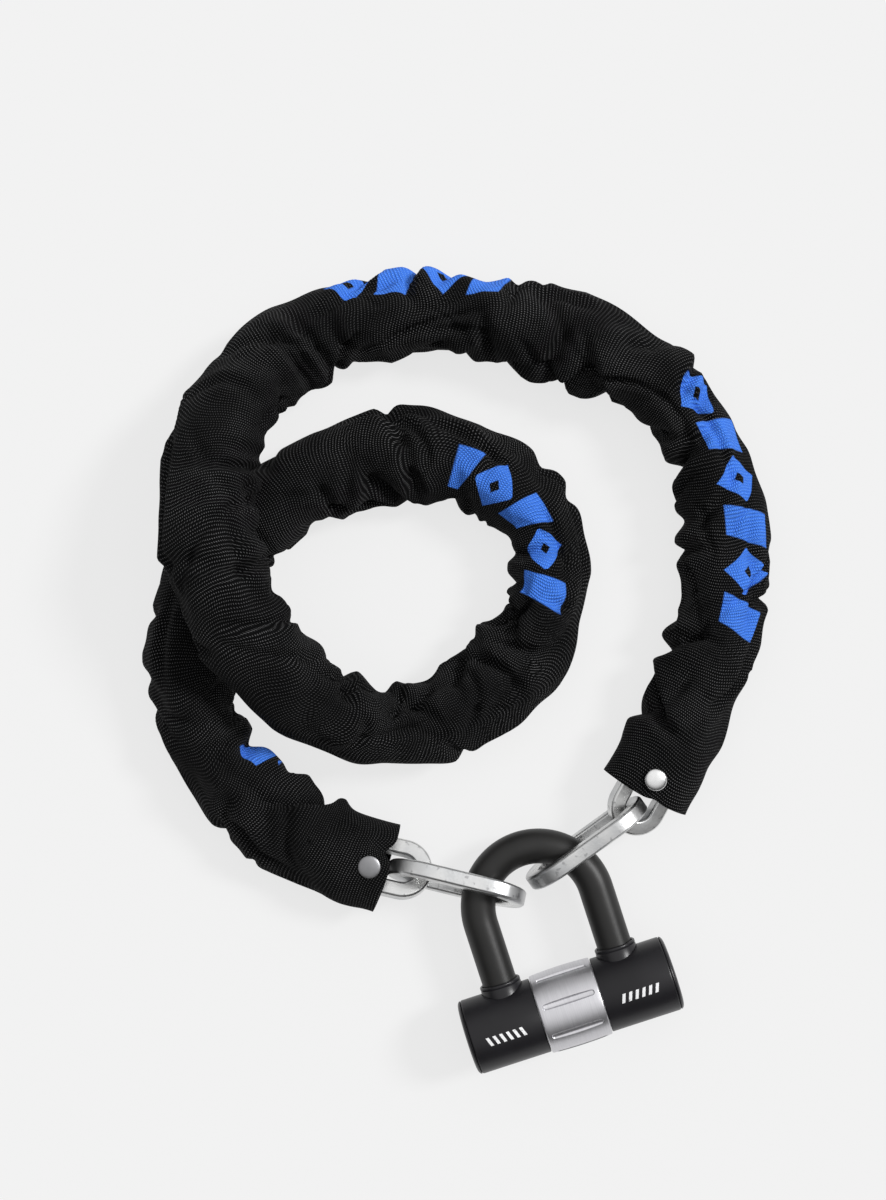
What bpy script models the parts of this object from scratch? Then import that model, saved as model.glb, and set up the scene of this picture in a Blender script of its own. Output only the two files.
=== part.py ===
"""Chain lock: a square-bar chain in a woven sleeve, closed by a double-locking shackle lock.

Frame: +X along the crossbar, +Y from the crossbar towards the shackle's arch, +Z up. The lock
lies flat on the plane z = 0, and the origin is under the middle of the whole object's box.
It rests closed with the key turned to open, so both bolts are clear of the shackle's feet.
"""

import math

import bmesh
import bpy
from mathutils import Matrix, Vector

# ---- Driving dimensions, in metres ----
GAP = 0.0003  # left between pieces that touch

# The crossbar's middle, measured from the origin
LOCK = Vector((-0.0093, -0.1925, 0.0218))

# Chain
BAR = 0.0085  # side of the square bar
LINK_INNER_WIDTH = 0.0150
LINK_INNER_LENGTH = 0.0410
END_LINK_INNER_WIDTH = 0.0240
END_LINK_INNER_LENGTH = 0.0590
LINK_PITCH_COUNT = 36  # gaps between neighbouring links, from cross link to cross link

# Sleeve: an ellipse that is flatter and wider at the two mouths
SLEEVE_WIDTH = 0.0430
SLEEVE_HEIGHT = 0.0400
MOUTH_WIDTH = 0.0500
MOUTH_HEIGHT = 0.0325
MOUTH_FLAT = 0.0170  # the mouth's own section runs this far in
MOUTH_TAPER = 0.0200  # and turns into the sleeve's over this length
CLOTH = 0.0012
SLEEVE_SIDES = 12
SLEEVE_STEP = 0.0180

# Cross links and end links: how they lie at each mouth (angles in degrees)
CROSS_INSET = 0.0055  # a cross link's middle is this far inside the mouth
CROSS_HEIGHT = 0.0192
RIVET_INSET = 0.0100
LEFT_CROSS_YAW, LEFT_CROSS_ROLL = -31.0, -22.0
RIGHT_CROSS_YAW, RIGHT_CROSS_ROLL = -137.0, -18.0
LEFT_END_YAW, LEFT_END_LEAN = -31.6, -16.0
RIGHT_END_YAW, RIGHT_END_LEAN = -162.4, -3.0
LEFT_END_OFFSET, RIGHT_END_OFFSET = 0.0095, 0.0132  # an end link's bar, past the cross's middle
END_LINK_HEIGHT = 0.0213

# Rivets
RIVET_SHANK_RADIUS = 0.0019
RIVET_HEAD_RADIUS = 0.0060
RIVET_HEAD_RISE = 0.0022
RIVET_BACK_RADIUS = 0.0055
RIVET_BACK_THICKNESS = 0.0011

# Shackle
LEG_X = 0.0325
LEG_RADIUS = 0.0080
ARCH_Y = 0.0560  # centre of the half-circle, from the crossbar's axis
FOOT_Y = -0.0110
COAT_RADIUS = 0.0094
COAT_INNER_RADIUS = 0.00835
COAT_END_Y = 0.0183
SWING_Y = 0.0710  # the shackle swings in the end links about a line across its two legs here
SHACKLE_SIDES = 12
ARCH_STEPS = 16

# Crossbar
BODY_RADIUS = 0.0176
BODY_HALF = 0.0540
COVER_RADIUS = 0.02025
COVER_INNER_RADIUS = 0.0180
COVER_START, COVER_END = 0.0173, 0.0560
CAP_FACE = 0.0583
CAP_BEVEL = 0.0012
BAND_HALF = 0.0169
BAND_RADIUS = 0.0218
BAND_RIM_RADIUS = 0.0212
BAND_GROOVE = (0.0250, 0.0022, 0.0008)  # length, width, depth
BAND_WINDOW_RADIUS = 0.0070
COLLAR_RADIUS = 0.0112
COLLAR_INNER_RADIUS = 0.0098
COLLAR_TOP_Y = 0.0240
LEG_BORE_RADIUS = 0.0084
KEY_BORE_RADIUS = 0.0094
KEY_BORE_END_Y = 0.0100
ROUND_SIDES = 32

# Lock cylinder, cam and bolts
HOUSING_RADIUS, HOUSING_INNER_RADIUS = 0.0091, 0.0066
CYLINDER_FRONT_Y = -0.0150
CYLINDER_BACK_Y = -0.0054
PLUG_RADIUS = 0.0063
KEYWAY = (0.0024, 0.0080, 0.0070)  # width, height, depth
CAM_BASE_RADIUS = 0.0030
CAM_FRONT_Y, CAM_BACK_Y = -0.0051, 0.0050
BOLT_RADIUS = 0.0040
BOLT_TAIL_X = 0.0034
BOLT_TIP_X = LEG_X - LEG_RADIUS - GAP
BOLT_TRAVEL = 0.0052
CHANNEL_RADIUS = 0.0043
NOTCH_RADIUS = 0.0044
PIN_RADIUS, PIN_HOLE_RADIUS = 0.0012, 0.0015
PIN_X, PIN_Y = 0.0084, -0.0110
PIN_LOW, PIN_HIGH = -0.0125, 0.0045

# The sleeve's middle line from the right mouth to the left mouth, from the crossbar's middle
# in X and Y and from the ground in Z. It passes over itself once, on the left.
ROUTE = [
    (0.073, 0.096, 0.0192), (0.091, 0.113, 0.0201), (0.108, 0.131, 0.0201),
    (0.128, 0.155, 0.0201), (0.146, 0.183, 0.0201), (0.158, 0.214, 0.0201),
    (0.163, 0.246, 0.0201), (0.160, 0.279, 0.0201), (0.147, 0.308, 0.0201),
    (0.126, 0.331, 0.0201), (0.101, 0.348, 0.0201), (0.072, 0.365, 0.0201),
    (0.040, 0.378, 0.0201), (0.006, 0.385, 0.0210), (-0.028, 0.384, 0.0255),
    (-0.058, 0.373, 0.0350), (-0.082, 0.351, 0.0470), (-0.098, 0.322, 0.0565),
    (-0.105, 0.290, 0.0612), (-0.103, 0.255, 0.0570), (-0.094, 0.222, 0.0480),
    (-0.077, 0.194, 0.0370), (-0.052, 0.175, 0.0270), (-0.022, 0.170, 0.0215),
    (0.010, 0.176, 0.0203), (0.039, 0.191, 0.0201), (0.059, 0.215, 0.0201),
    (0.066, 0.245, 0.0201), (0.056, 0.274, 0.0201), (0.032, 0.298, 0.0201),
    (0.001, 0.311, 0.0201), (-0.033, 0.313, 0.0201), (-0.066, 0.308, 0.0201),
    (-0.097, 0.293, 0.0201), (-0.124, 0.269, 0.0201), (-0.141, 0.237, 0.0201),
    (-0.144, 0.203, 0.0201), (-0.133, 0.168, 0.0201), (-0.106, 0.127, 0.0201),
    (-0.071, 0.100, 0.0192),
]
CURVE_STEPS = 24  # points computed between neighbouring route points


# ---- Small helpers ----
def clear_scene():
    for thing in list(bpy.data.objects):
        bpy.data.objects.remove(thing, do_unlink=True)


def material(name, colour, roughness, metallic):
    made = bpy.data.materials.new(name)
    made.use_nodes = True
    shader = made.node_tree.nodes["Principled BSDF"]
    shader.inputs["Base Color"].default_value = (*colour, 1.0)
    shader.inputs["Roughness"].default_value = roughness
    shader.inputs["Metallic"].default_value = metallic
    return made


def empty(name, place):
    pivot = bpy.data.objects.new(name, None)
    pivot.location = place
    bpy.context.collection.objects.link(pivot)
    return pivot


def add_object(name, shape, finish, matrix=None, pivot=None):
    """Put a bmesh in the scene as one object, kept where it is when it hangs on an empty."""
    bmesh.ops.recalc_face_normals(shape, faces=shape.faces)
    mesh = bpy.data.meshes.new(name)
    shape.to_mesh(mesh)
    shape.free()
    mesh.shade_smooth()
    mesh.set_sharp_from_angle(angle=math.radians(35.0))
    thing = bpy.data.objects.new(name, mesh)
    thing.matrix_basis = matrix or Matrix.Identity(4)
    if pivot is not None:
        thing.parent = pivot
        thing.matrix_parent_inverse = Matrix.Translation(-pivot.location)
    if finish is not None:
        mesh.materials.append(finish)
    bpy.context.collection.objects.link(thing)
    return thing


def bridge(shape, first, second):
    count = len(first)
    for i in range(count):
        j = (i + 1) % count
        shape.faces.new((first[i], first[j], second[j], second[i]))


def swept(rings, closed=False):
    """A solid through rings of points: a closed loop, or one with both ends capped."""
    shape = bmesh.new()
    made = [[shape.verts.new(p) for p in ring] for ring in rings]
    for first, second in zip(made, made[1:]):
        bridge(shape, first, second)
    if closed:
        bridge(shape, made[-1], made[0])
    else:
        shape.faces.new(made[0])
        shape.faces.new(made[-1])
    return shape


def hollow(outer, inner):
    """A tube open at both ends, from its outer and inner rings."""
    shape = bmesh.new()
    walls = []
    for rings in (outer, inner):
        made = [[shape.verts.new(p) for p in ring] for ring in rings]
        for first, second in zip(made, made[1:]):
            bridge(shape, first, second)
        walls.append(made)
    for end in (0, -1):
        bridge(shape, walls[0][end], walls[1][end])
    return shape


def circle(along, radius, sides):
    """Points round the X axis; the first points along +Y."""
    turns = [2 * math.pi * i / sides for i in range(sides)]
    return [Vector((along, radius * math.cos(a), radius * math.sin(a))) for a in turns]


def turned(profile, sides=ROUND_SIDES):
    """A solid turned about X from (along, radius) pairs."""
    return swept([circle(along, radius, sides) for along, radius in profile])


def turned_ring(profile, inner_radius, sides=ROUND_SIDES):
    """A ring turned about X: its outer profile, and a plain bore."""
    outer = [circle(along, radius, sides) for along, radius in profile]
    inner = [circle(along, inner_radius, sides) for along, _ in (profile[0], profile[-1])]
    shape = bmesh.new()
    walls = [[shape.verts.new(p) for p in ring] for ring in outer + inner[::-1]]
    for first, second in zip(walls, walls[1:] + walls[:1]):
        bridge(shape, first, second)
    return shape


def block(size):
    shape = bmesh.new()
    bmesh.ops.create_cube(shape, size=1.0)
    bmesh.ops.scale(shape, vec=size, verts=shape.verts)
    return shape


def along_y():
    """Turns a shape made along +X to lie along +Y."""
    return Matrix.Rotation(math.radians(90.0), 4, "Z")


def along_z():
    return Matrix.Rotation(math.radians(-90.0), 4, "Y")


def at(place, turn=None):
    return Matrix.Translation(place) @ (turn or Matrix.Identity(4))


def cut(target, name, shape, matrix):
    """Take a shape away from an object, with the cutter kept as a guide."""
    cutter = add_object(name, shape, None, matrix)
    cutter.hide_render = True
    cutter.display_type = "WIRE"
    step = target.modifiers.new(name, "BOOLEAN")
    step.operation = "DIFFERENCE"
    step.solver = "EXACT"
    step.object = cutter


# ---- The route ----
def route_points():
    """A dense smooth curve through the route, each of its points with its distance along."""
    knots = [Vector(p) + Vector((LOCK.x, LOCK.y, 0.0)) for p in ROUTE]
    knots = [2 * knots[0] - knots[1], *knots, 2 * knots[-1] - knots[-2]]
    points = []
    for before, start, end, after in zip(knots, knots[1:], knots[2:], knots[3:]):
        for i in range(CURVE_STEPS):
            t = i / CURVE_STEPS
            points.append(0.5 * (
                2 * start
                + (end - before) * t
                + (2 * before - 5 * start + 4 * end - after) * t**2
                + (3 * start - before - 3 * end + after) * t**3
            ))
    points.append(knots[-2])
    distance = [0.0]
    for first, second in zip(points, points[1:]):
        distance.append(distance[-1] + (second - first).length)
    return points, distance


class Route:
    def __init__(self):
        self.points, self.distance = route_points()
        self.length = self.distance[-1]

    def at(self, s):
        """The point this far along; before and past the ends it runs straight on."""
        last = len(self.points) - 1
        i = next((k for k in range(1, last) if self.distance[k] >= s), last)
        first, second = self.points[i - 1], self.points[i]
        share = (s - self.distance[i - 1]) / (self.distance[i] - self.distance[i - 1])
        return first.lerp(second, share)

    def heading(self, s, reach=0.006):
        return (self.at(s + reach) - self.at(s - reach)).normalized()


# ---- Chain ----
def link_shape(inner_width, inner_length, steps, chamfer=0.0):
    """A stadium-shaped link lying in XY: a square bar, its edges chamfered if asked."""
    half = BAR / 2
    radius = inner_width / 2 + half
    straight = (inner_length - inner_width) / 2
    if chamfer:
        near, far = half - chamfer, half
        section = [(far, -near), (far, near), (near, far), (-near, far),
                   (-far, near), (-far, -near), (-near, -far), (near, -far)]
    else:
        section = [(half, -half), (half, half), (-half, half), (-half, -half)]
    rings = []
    for end in (0, 1):
        for i in range(steps + 1):
            turn = math.pi * (end - 0.5 + i / steps)
            out = Vector((math.cos(turn), math.sin(turn), 0.0))
            centre = Vector((straight * (1 - 2 * end), 0.0, 0.0)) + out * radius
            rings.append([centre + out * a + Vector((0.0, 0.0, b)) for a, b in section])
    return swept(rings, closed=True)


def lying(place, yaw, pitch, roll):
    """Where a link lies: yaw about Z, then pitch up, then roll about its own length."""
    turn = Matrix.Rotation(yaw, 4, "Z") @ Matrix.Rotation(-pitch, 4, "Y")
    return at(place, turn @ Matrix.Rotation(roll, 4, "X"))


def direction(yaw):
    turn = math.radians(yaw)
    return Vector((math.cos(turn), math.sin(turn), 0.0))


def link_pitch(route):
    return (route.length - 2 * CROSS_INSET) / LINK_PITCH_COUNT


def inner_links(route, steel):
    """Links alternate on edge and flat. On a bend in plan the flat ones' axes pass through
    their neighbours' bars, and on a rise the upright ones' do, so that no bar is pinched."""
    pitch = link_pitch(route)
    twists = {
        1: -0.6 * RIGHT_CROSS_ROLL, 2: -0.25 * RIGHT_CROSS_ROLL,
        LINK_PITCH_COUNT - 2: 0.25 * LEFT_CROSS_ROLL, LINK_PITCH_COUNT - 1: 0.6 * LEFT_CROSS_ROLL,
    }
    bar_reach = (LINK_INNER_LENGTH + BAR) / 2
    eye_reach = pitch - bar_reach
    shape = link_shape(LINK_INNER_WIDTH, LINK_INNER_LENGTH, 6)
    mesh = None
    for number in range(1, LINK_PITCH_COUNT):
        upright = number % 2 == 1
        middle = CROSS_INSET + pitch * number
        plan_reach, rise_reach = (bar_reach, eye_reach) if upright else (eye_reach, bar_reach)
        back, ahead = route.at(middle - plan_reach), route.at(middle + plan_reach)
        low, high = route.at(middle - rise_reach), route.at(middle + rise_reach)
        place = (back + ahead) / 2
        place.z = (low.z + high.z) / 2
        yaw = math.atan2(ahead.y - back.y, ahead.x - back.x)
        pitch_up = math.atan2(high.z - low.z, (high - low).xy.length)
        roll = math.radians(90.0) if upright else 0.0
        roll += math.radians(twists.get(number, 0.0))
        matrix = lying(place, yaw, pitch_up, roll)
        name = f"chain_link_{number:02d}"
        if mesh is None:
            mesh = add_object(name, shape, steel, matrix).data
        else:
            copy = bpy.data.objects.new(name, mesh)
            copy.matrix_basis = matrix
            bpy.context.collection.objects.link(copy)


def mouth(route, side):
    """A mouth's middle, and the way out of it."""
    if side == "right":
        return route.at(0.0), -route.heading(0.007).xy.to_3d().normalized()
    return route.at(route.length), route.heading(route.length - 0.007).xy.to_3d().normalized()


def mouth_links(side, route, offset, yaws, rolls, steel):
    """The cross link that looks out of a mouth and the long end link hung in it."""
    cross_yaw, end_yaw = yaws
    cross_roll, end_lean = rolls
    place, out = mouth(route, side)
    hook = link_pitch(route) - (LINK_INNER_LENGTH + BAR) / 2
    hook_at = CROSS_INSET + hook if side == "right" else route.length - CROSS_INSET - hook
    middle = route.at(hook_at) + direction(cross_yaw) * hook
    middle.z = CROSS_HEIGHT
    rivet_axis = place - out * RIVET_INSET
    cross_pivot = empty(f"{side}_cross_link_axis", middle)
    turn = lying(middle, math.radians(cross_yaw), 0.0, math.radians(cross_roll))
    cross = link_shape(LINK_INNER_WIDTH, LINK_INNER_LENGTH, 8, 0.0012)
    add_object(f"{side}_cross_link", cross, steel, turn, cross_pivot)

    reach = (END_LINK_INNER_LENGTH + BAR) / 2
    end_middle = middle + direction(cross_yaw) * offset + direction(end_yaw) * reach
    end_middle.z = END_LINK_HEIGHT
    end_pivot = empty(f"{side}_end_link_axis", end_middle)
    upright = lying(end_middle, math.radians(end_yaw), 0.0, math.radians(90.0 + end_lean))
    end = link_shape(END_LINK_INNER_WIDTH, END_LINK_INNER_LENGTH, 10, 0.0012)
    add_object(f"{side}_end_link", end, steel, upright, end_pivot)
    return rivet_axis


# ---- Sleeve and rivets ----
def sleeve_size(s, length):
    """Half width and half height of the sleeve this far along."""
    share = (min(s, length - s) - MOUTH_FLAT) / MOUTH_TAPER
    share = min(max(share, 0.0), 1.0)
    share = share * share * (3 - 2 * share)
    width = MOUTH_WIDTH + (SLEEVE_WIDTH - MOUTH_WIDTH) * share
    height = MOUTH_HEIGHT + (SLEEVE_HEIGHT - MOUTH_HEIGHT) * share
    return width / 2, height / 2


def sleeve_ring(route, s, inset):
    centre = route.at(s)
    heading = route.heading(min(max(s, 0.006), route.length - 0.006))
    side = Vector((-heading.y, heading.x, 0.0)).normalized()
    up = heading.cross(side)
    half_width, half_height = sleeve_size(s, route.length)
    ring = []
    for i in range(SLEEVE_SIDES):
        turn = 2 * math.pi * i / SLEEVE_SIDES
        across = side * (half_width - inset) * math.cos(turn)
        ring.append(centre + across + up * (half_height - inset) * math.sin(turn))
    return ring


def make_sleeve(route, cloth, rivet_axes):
    count = round(route.length / SLEEVE_STEP)
    stations = [route.length * i / count for i in range(count + 1)]
    outer = [sleeve_ring(route, s, 0.0) for s in stations]
    inner = [sleeve_ring(route, s, CLOTH) for s in stations]
    sleeve = add_object("sleeve", hollow(outer, inner), cloth)
    for side, axis in rivet_axes.items():
        hole = turned([(-0.002, RIVET_SHANK_RADIUS + GAP), (0.045, RIVET_SHANK_RADIUS + GAP)], 12)
        cut(sleeve, f"{side}_rivet_hole_cutter", hole, at(axis.xy.to_3d(), along_z()))


def make_rivet(side, axis, metal):
    """A domed head whose shank passes through the sleeve into a flat back ring."""
    top = CROSS_HEIGHT + MOUTH_HEIGHT / 2 + 3 * GAP
    base = CROSS_HEIGHT - MOUTH_HEIGHT / 2
    back_top = base - GAP
    back_low = back_top - RIVET_BACK_THICKNESS
    head = [(back_low, RIVET_SHANK_RADIUS), (top, RIVET_SHANK_RADIUS), (top, RIVET_HEAD_RADIUS)]
    for i in range(1, 5):
        turn = math.radians(20.0 * i)
        head.append((top + RIVET_HEAD_RISE * math.sin(turn), RIVET_HEAD_RADIUS * math.cos(turn)))
    place = at(axis.xy.to_3d(), along_z())
    add_object(f"{side}_rivet", turned(head, 16), metal, place)
    rim = [(back_low, RIVET_BACK_RADIUS), (back_top, RIVET_BACK_RADIUS)]
    ring = turned_ring(rim, RIVET_SHANK_RADIUS + GAP, 16)
    add_object(f"{side}_rivet_back", ring, metal, place)


# ---- Shackle ----
def shackle_rings(radius, end_y):
    """Rings along the U: up the left leg, round the arch and down the right leg."""
    stations = [((-LEG_X, end_y), 0.0)]
    for i in range(ARCH_STEPS + 1):
        turn = math.pi * i / ARCH_STEPS
        stations.append(((-LEG_X * math.cos(turn), ARCH_Y + LEG_X * math.sin(turn)), turn))
    stations.append(((LEG_X, end_y), math.pi))
    rings = []
    for (x, y), turn in stations:
        out = Vector((-math.cos(turn), math.sin(turn), 0.0))
        ring = []
        for i in range(SHACKLE_SIDES):
            a = 2 * math.pi * i / SHACKLE_SIDES
            ring.append(Vector((x, y, 0.0)) + out * radius * math.cos(a)
                        + Vector((0.0, 0.0, radius * math.sin(a))))
        rings.append(ring)
    return rings


def make_shackle(steel, vinyl, pivot):
    place = at(LOCK)
    rod = add_object("shackle", swept(shackle_rings(LEG_RADIUS, FOOT_Y)), steel, place, pivot)
    for side, sign in (("left", -1.0), ("right", 1.0)):
        near = BOLT_TIP_X - 0.002
        far = BOLT_TIP_X + BOLT_TRAVEL + 2 * GAP
        ends = sorted((sign * near, sign * far))
        notch = turned([(ends[0], NOTCH_RADIUS), (ends[1], NOTCH_RADIUS)], 16)
        cut(rod, f"{side}_notch_cutter", notch, place)
    coat = hollow(shackle_rings(COAT_RADIUS, COAT_END_Y),
                  shackle_rings(COAT_INNER_RADIUS, COAT_END_Y))
    add_object("shackle_coating", coat, vinyl, place, pivot)


# ---- Crossbar ----
def make_body(steel, pivot):
    body = add_object(
        "crossbar_body",
        turned([(-BODY_HALF, BODY_RADIUS), (BODY_HALF, BODY_RADIUS)]),
        steel, at(LOCK), pivot,
    )
    for side, sign in (("left", -1.0), ("right", 1.0)):
        bore = turned([(FOOT_Y - 2 * GAP, LEG_BORE_RADIUS), (0.03, LEG_BORE_RADIUS)], 20)
        place = at(LOCK + Vector((sign * LEG_X, 0.0, 0.0)), along_y())
        cut(body, f"{side}_leg_bore_cutter", bore, place)
    key_bore = turned([(-0.03, KEY_BORE_RADIUS), (KEY_BORE_END_Y, KEY_BORE_RADIUS)], 24)
    cut(body, "key_bore_cutter", key_bore, at(LOCK, along_y()))
    channel = turned([(-LEG_X, CHANNEL_RADIUS), (LEG_X, CHANNEL_RADIUS)], 16)
    cut(body, "bolt_channel_cutter", channel, at(LOCK))
    cut(body, "pin_hole_in_body_cutter", pin_hole(), pin_place())


def pin_hole():
    return turned([(-0.03, PIN_HOLE_RADIUS), (PIN_HIGH + GAP, PIN_HOLE_RADIUS)], 12)


def pin_place():
    return at(LOCK + Vector((PIN_X, PIN_Y, 0.0)), along_z())


def make_covers(paint, pivot):
    for side, sign in (("left", -1.0), ("right", 1.0)):
        ends = sorted((sign * COVER_START, sign * COVER_END))
        tube = turned_ring([(x, COVER_RADIUS) for x in ends], COVER_INNER_RADIUS)
        cover = add_object(f"{side}_cover", tube, paint, at(LOCK), pivot)
        hole = turned([(0.008, COLLAR_RADIUS + GAP), (0.03, COLLAR_RADIUS + GAP)], 24)
        place = at(LOCK + Vector((sign * LEG_X, 0.0, 0.0)), along_y())
        cut(cover, f"{side}_collar_hole_cutter", hole, place)


def make_collars(paint, pivot):
    """Saddle-footed rings that stand on the body round the shackle's legs."""
    for side, sign in (("left", -1.0), ("right", 1.0)):
        tube = turned_ring([(0.008, COLLAR_RADIUS), (COLLAR_TOP_Y - 0.0008, COLLAR_RADIUS),
                            (COLLAR_TOP_Y, COLLAR_RADIUS - 0.0006)], COLLAR_INNER_RADIUS, 24)
        place = at(LOCK + Vector((sign * LEG_X, 0.0, 0.0)), along_y())
        collar = add_object(f"{side}_leg_collar", tube, paint, place, pivot)
        saddle = turned([(-BODY_HALF, BODY_RADIUS + GAP), (BODY_HALF, BODY_RADIUS + GAP)])
        cut(collar, f"{side}_saddle_cutter", saddle, at(LOCK))


def make_end_caps(paint, pivot):
    for side, sign in (("left", -1.0), ("right", 1.0)):
        spigot = COVER_INNER_RADIUS - 2 * GAP
        profile = [
            (BODY_HALF + GAP, spigot),
            (COVER_END + GAP, spigot),
            (COVER_END + GAP, COVER_RADIUS),
            (CAP_FACE - CAP_BEVEL, COVER_RADIUS),
            (CAP_FACE, COVER_RADIUS - CAP_BEVEL),
        ]
        profile = [(sign * x, radius) for x, radius in profile]
        add_object(f"{side}_end_cap", turned(profile), paint, at(LOCK), pivot)


def make_band(silver, pivot):
    """The turning centre band: it hides the keyhole until its window comes round."""
    profile = [
        (-BAND_HALF, BAND_RIM_RADIUS - 0.0004),
        (-BAND_HALF + 0.0006, BAND_RIM_RADIUS),
        (-BAND_HALF / 2, BAND_RADIUS - 0.00015),
        (0.0, BAND_RADIUS),
        (BAND_HALF / 2, BAND_RADIUS - 0.00015),
        (BAND_HALF - 0.0006, BAND_RIM_RADIUS),
        (BAND_HALF, BAND_RIM_RADIUS - 0.0004),
    ]
    band = add_object(
        "centre_band", turned_ring(profile, COVER_INNER_RADIUS), silver, at(LOCK), pivot
    )
    length, width, depth = BAND_GROOVE
    for number, angle in enumerate((22.5, 67.5, 112.5, -22.5, -67.5, -112.5), 1):
        turn = Matrix.Rotation(math.radians(angle), 4, "X")
        lift = Matrix.Translation((0.0, 0.0, BAND_RADIUS + 0.002 - depth))
        groove = block((length, width, 0.004))
        cut(band, f"band_groove_{number}_cutter", groove, at(LOCK, turn @ lift))
    window = turned([(-0.03, BAND_WINDOW_RADIUS), (-0.01, BAND_WINDOW_RADIUS)], 20)
    cut(band, "band_window_cutter", window, at(LOCK, along_z()))


# ---- Lock cylinder, cam and bolts ----
def cam_outline():
    """Two lobes whose lift grows evenly with the angle, so that a flat follower moves evenly."""
    rate = BOLT_TRAVEL / math.radians(90.0)
    steps = 8
    lobe = []
    for i in range(steps + 1):
        turn = math.radians(90.0) * i / steps
        reach = CAM_BASE_RADIUS + rate * turn
        lobe.append((
            reach * math.cos(turn) - rate * math.sin(turn),
            reach * math.sin(turn) + rate * math.cos(turn),
        ))
    return lobe + [(-x, -z) for x, z in lobe]


def make_cylinder(brass, steel, pivot, key_pivot):
    length = [(CYLINDER_FRONT_Y, HOUSING_RADIUS), (CYLINDER_BACK_Y, HOUSING_RADIUS)]
    housing = add_object(
        "cylinder_housing", turned_ring(length, HOUSING_INNER_RADIUS, 24),
        brass, at(LOCK, along_y()), pivot,
    )
    cut(housing, "pin_hole_in_housing_cutter", pin_hole(), pin_place())
    pin = turned([(PIN_LOW, PIN_RADIUS), (PIN_HIGH, PIN_RADIUS)], 12)
    add_object("cylinder_retaining_pin", pin, steel, pin_place(), pivot)

    barrel = turned([(CYLINDER_FRONT_Y, PLUG_RADIUS), (CYLINDER_BACK_Y, PLUG_RADIUS)], 24)
    plug = add_object("key_plug", barrel, brass, at(LOCK, along_y()), key_pivot)
    width, height, depth = KEYWAY
    slot_place = LOCK + Vector((0.0, CYLINDER_FRONT_Y, 0.0))
    cut(plug, "keyway_cutter", block((width, 2 * depth, height)), at(slot_place))

    outline = cam_outline()
    rings = [[Vector((x, y, z)) for x, z in outline] for y in (CAM_FRONT_Y, CAM_BACK_Y)]
    add_object("locking_cam", swept(rings), steel, at(LOCK), key_pivot)


def make_bolts(steel):
    for side, sign in (("left", -1.0), ("right", 1.0)):
        profile = [(BOLT_TAIL_X, BOLT_RADIUS), (BOLT_TIP_X - 0.0006, BOLT_RADIUS),
                   (BOLT_TIP_X, BOLT_RADIUS - 0.0006)]
        slide = empty(f"{side}_bolt_axis", LOCK)
        shape = turned([(sign * x, radius) for x, radius in profile], 16)
        add_object(f"{side}_bolt", shape, steel, at(LOCK), slide)


def make_lock():
    shackle_pivot = empty("lock_swing_axis", LOCK + Vector((0.0, SWING_Y, 0.0)))
    crossbar_pivot = empty("crossbar_axis", LOCK)
    band_pivot = empty("centre_band_axis", LOCK)
    key_pivot = empty("key_plug_axis", LOCK)
    hard_steel = material("hardened_steel", (0.45, 0.45, 0.46), 0.35, 1.0)
    vinyl = material("black_vinyl", (0.018, 0.018, 0.020), 0.38, 0.0)
    paint = material("black_paint", (0.016, 0.016, 0.018), 0.30, 0.0)
    silver = material("satin_silver", (0.68, 0.68, 0.70), 0.32, 1.0)
    brass = material("brass", (0.70, 0.52, 0.24), 0.35, 1.0)
    make_shackle(hard_steel, vinyl, shackle_pivot)
    make_body(hard_steel, crossbar_pivot)
    make_covers(paint, crossbar_pivot)
    make_collars(paint, crossbar_pivot)
    make_end_caps(paint, crossbar_pivot)
    make_band(silver, band_pivot)
    make_cylinder(brass, hard_steel, crossbar_pivot, key_pivot)
    make_bolts(hard_steel)


def make_chain():
    route = Route()
    zinc = material("zinc_plated_steel", (0.56, 0.57, 0.58), 0.33, 1.0)
    cloth = material("woven_nylon", (0.013, 0.013, 0.014), 0.85, 0.0)
    nickel = material("nickel_rivet", (0.80, 0.80, 0.80), 0.25, 1.0)
    inner_links(route, zinc)
    layout = {
        "right": (RIGHT_END_OFFSET, (RIGHT_CROSS_YAW, RIGHT_END_YAW),
                  (RIGHT_CROSS_ROLL, RIGHT_END_LEAN)),
        "left": (LEFT_END_OFFSET, (LEFT_CROSS_YAW, LEFT_END_YAW),
                 (LEFT_CROSS_ROLL, LEFT_END_LEAN)),
    }
    rivet_axes = {}
    for side, (offset, yaws, rolls) in layout.items():
        rivet_axes[side] = mouth_links(side, route, offset, yaws, rolls, zinc)
        make_rivet(side, rivet_axes[side], nickel)
    make_sleeve(route, cloth, rivet_axes)


clear_scene()
make_chain()
make_lock()
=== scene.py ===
"""Chain lock: the looks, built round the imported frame. Everything is in metres."""

import math
import random

import bmesh
import bpy
import numpy as np
from mathutils import Matrix, Vector
from mathutils.bvhtree import BVHTree


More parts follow.
